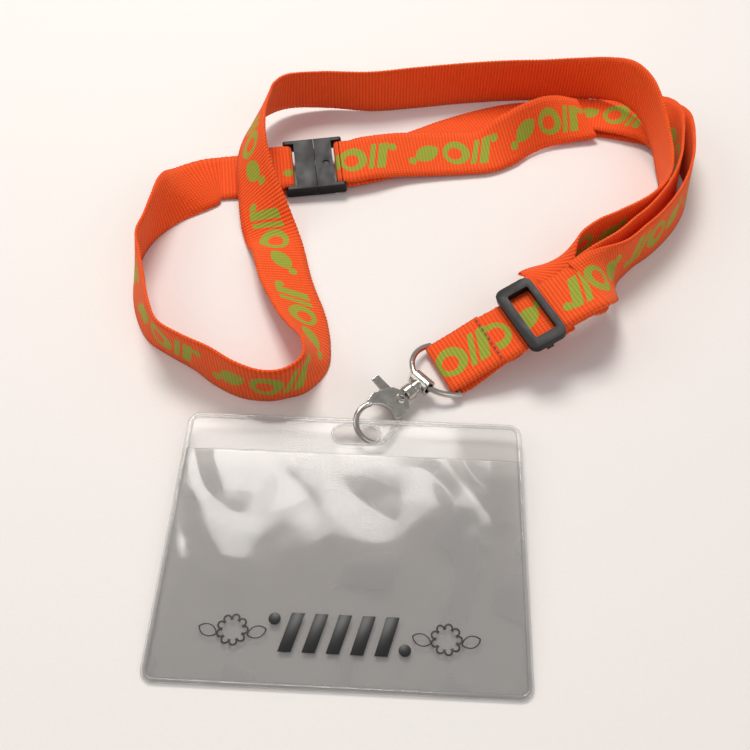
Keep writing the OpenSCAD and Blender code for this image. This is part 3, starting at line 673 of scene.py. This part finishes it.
def swept_outline(name, half_x, half_y, r, width, height, centre, stands_for, material):
    """A rounded bead along a rounded rectangle's outline."""
    curve = bpy.data.curves.new(name, "CURVE")
    curve.dimensions = "3D"
    spots = []
    for sx, sy, start in ((1, 1, 0), (-1, 1, 90), (-1, -1, 180), (1, -1, 270)):
        for k in range(13):
            a = math.radians(start + k * 7.5)
            spots.append((sx * (half_x - r) + r * math.cos(a), sy * (half_y - r) + r * math.sin(a)))
    line = curve.splines.new("POLY")
    line.points.add(len(spots) - 1)
    for point, (x, y) in zip(line.points, spots):
        point.co = ((x + centre.x) * mm, (y + centre.y) * mm, 0, 1)
    line.use_cyclic_u = True
    curve.bevel_depth = width / 2 * mm
    curve.bevel_resolution = 5
    shape = bpy.data.objects.new(name + "_line", curve)
    scene.collection.objects.link(shape)
    mesh = bpy.data.meshes.new_from_object(shape.evaluated_get(bpy.context.evaluated_depsgraph_get()))
    bpy.data.objects.remove(shape)
    mesh.transform(Matrix.Diagonal((1, 1, height / width, 1)))
    made = bpy.data.objects.new(name, mesh)
    scene.collection.objects.link(made)
    return settle(made, material, stands_for)


bead_vinyl, tree, shader = new_material("pvc_welded_bead", 0.12, IOR=1.53, Coat_Weight=0.8,
                                        Coat_Roughness=0.05)
where = add_node(tree, "ShaderNodeTexCoord").outputs["Object"]
weld = add_node(tree, "ShaderNodeTexNoise", {"Scale": 260.0, "Detail": 3.0, "Vector": where})
edge = add_node(tree, "ShaderNodeLayerWeight", {"Blend": 0.5})
veil = add_node(tree, "ShaderNodeMath", {0: edge.outputs["Facing"], 1: 0.42, 2: 0.2},
                operation="MULTIPLY_ADD", use_clamp=True)
milky = add_node(tree, "ShaderNodeMix", {"Factor": weld.outputs["Fac"], 6: linear("#B4B1AF"),
                 7: linear("#E6E4E2")}, data_type="RGBA")
relief = add_node(tree, "ShaderNodeBump", {"Height": weld.outputs["Fac"], "Strength": 0.3,
                  "Distance": 0.0003})
tree.links.new(milky.outputs[2], shader.inputs["Base Color"])
tree.links.new(veil.outputs[0], shader.inputs["Alpha"])
tree.links.new(relief.outputs[0], shader.inputs["Normal"])
swept_outline("welded_rim", (pouch_w - rim_w) / 2, (pouch_h - rim_w) / 2, corner_r - rim_w / 2, rim_w, 1.2,
              sheet_mid, ["pouch_rim"], bead_vinyl)
swept_outline("slot_welded_ring", slot_len / 2 + 0.45, slot_h / 2 + 0.45, slot_h / 2 + 0.449, 0.9, 0.9,
              Vector((0, 0)), ["slot_weld"], bead_vinyl)


# ---- Prints on the pouch ------------------------------------------------------------------------
# Solid and outline marks are screen printed on the front sheet in thick black vinyl ink, which
# dries to a satin film with a slightly raised edge.

def ink_material(name, dark, light, roughness):
    material, tree, shader = new_material(name, roughness, Specular_IOR_Level=0.4)
    where = add_node(tree, "ShaderNodeTexCoord").outputs["Object"]
    mesh_marks = add_node(tree, "ShaderNodeTexNoise", {"Scale": 1200.0, "Detail": 3.0, "Vector": where})
    film = add_node(tree, "ShaderNodeMix", {"Factor": mesh_marks.outputs["Fac"], 6: linear(dark),
                    7: linear(light)}, data_type="RGBA")
    relief = add_node(tree, "ShaderNodeBump", {"Height": mesh_marks.outputs["Fac"], "Strength": 0.2,
                      "Distance": 0.00004})
    tree.links.new(film.outputs[2], shader.inputs["Base Color"])
    tree.links.new(relief.outputs[0], shader.inputs["Normal"])
    return material


solid_ink = ink_material("vinyl_ink_solid", "#0B0B0C", "#18181A", 0.4)
line_ink = ink_material("vinyl_ink_outline", "#1C1A1A", "#343030", 0.5)
for node, name, slot, ink in (("print_centre", "print_row", "black_print", solid_ink),
                              ("print_left", "print_mark_left", "outline_print", line_ink),
                              ("print_right", "print_mark_right", "outline_print", line_ink)):
    finished(node, name, "pouch", ink, 0.03)
